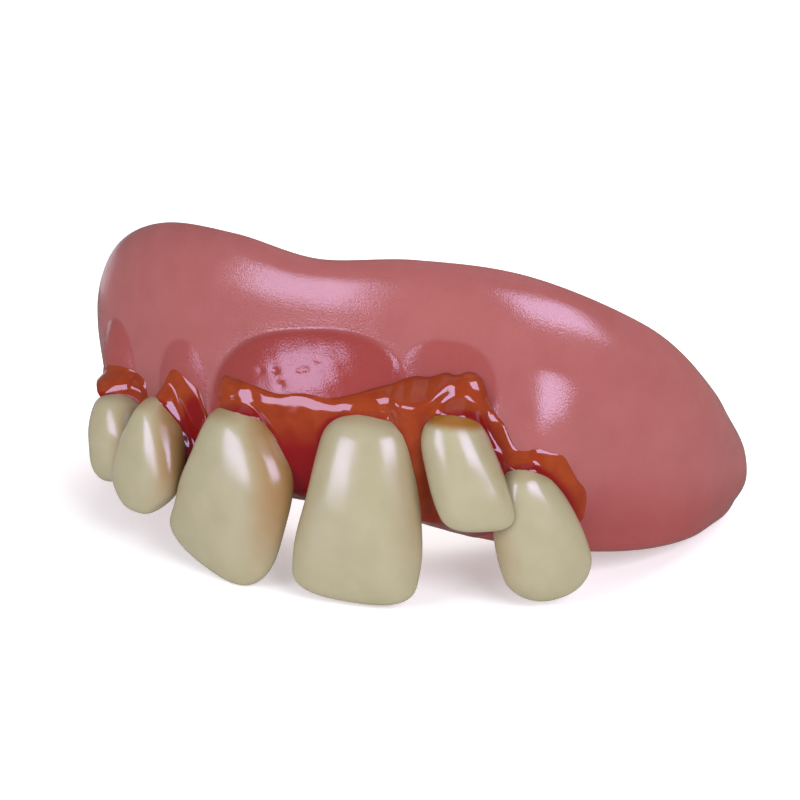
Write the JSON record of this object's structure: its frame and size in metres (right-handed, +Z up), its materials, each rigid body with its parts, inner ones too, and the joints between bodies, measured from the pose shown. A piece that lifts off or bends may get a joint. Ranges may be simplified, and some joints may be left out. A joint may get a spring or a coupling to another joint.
{
  "type": "novelty fake teeth",
  "caption": "Slip-on novelty upper teeth: a pink horseshoe gum plate with an open trough behind, crooked stained teeth on its face and amber resin round their necks.",
  "frame": {"origin": "middle of the bounding box at the table it rests on", "axes": "+X to the right as seen from the front, along the widest extent; the teeth face -Y; +Z up from the table"},
  "size_m": [0.0618, 0.0428, 0.0289],
  "materials": {
    "gum": "satin pink cast acrylic",
    "tooth": "polished cream acrylic with olive and amber stain at the necks",
    "resin": "glossy amber to dark red tinted resin"
  },
  "bodies": {
    "root": {"gum_plate": "gum", "canine_left": "tooth", "lateral_left": "tooth", "incisor_left": "tooth", "incisor_right": "tooth", "lateral_right": "tooth", "canine_right": "tooth", "resin_canine_left": "resin", "resin_lateral_left": "resin", "resin_front": "resin"}
  },
  "joints": []
}
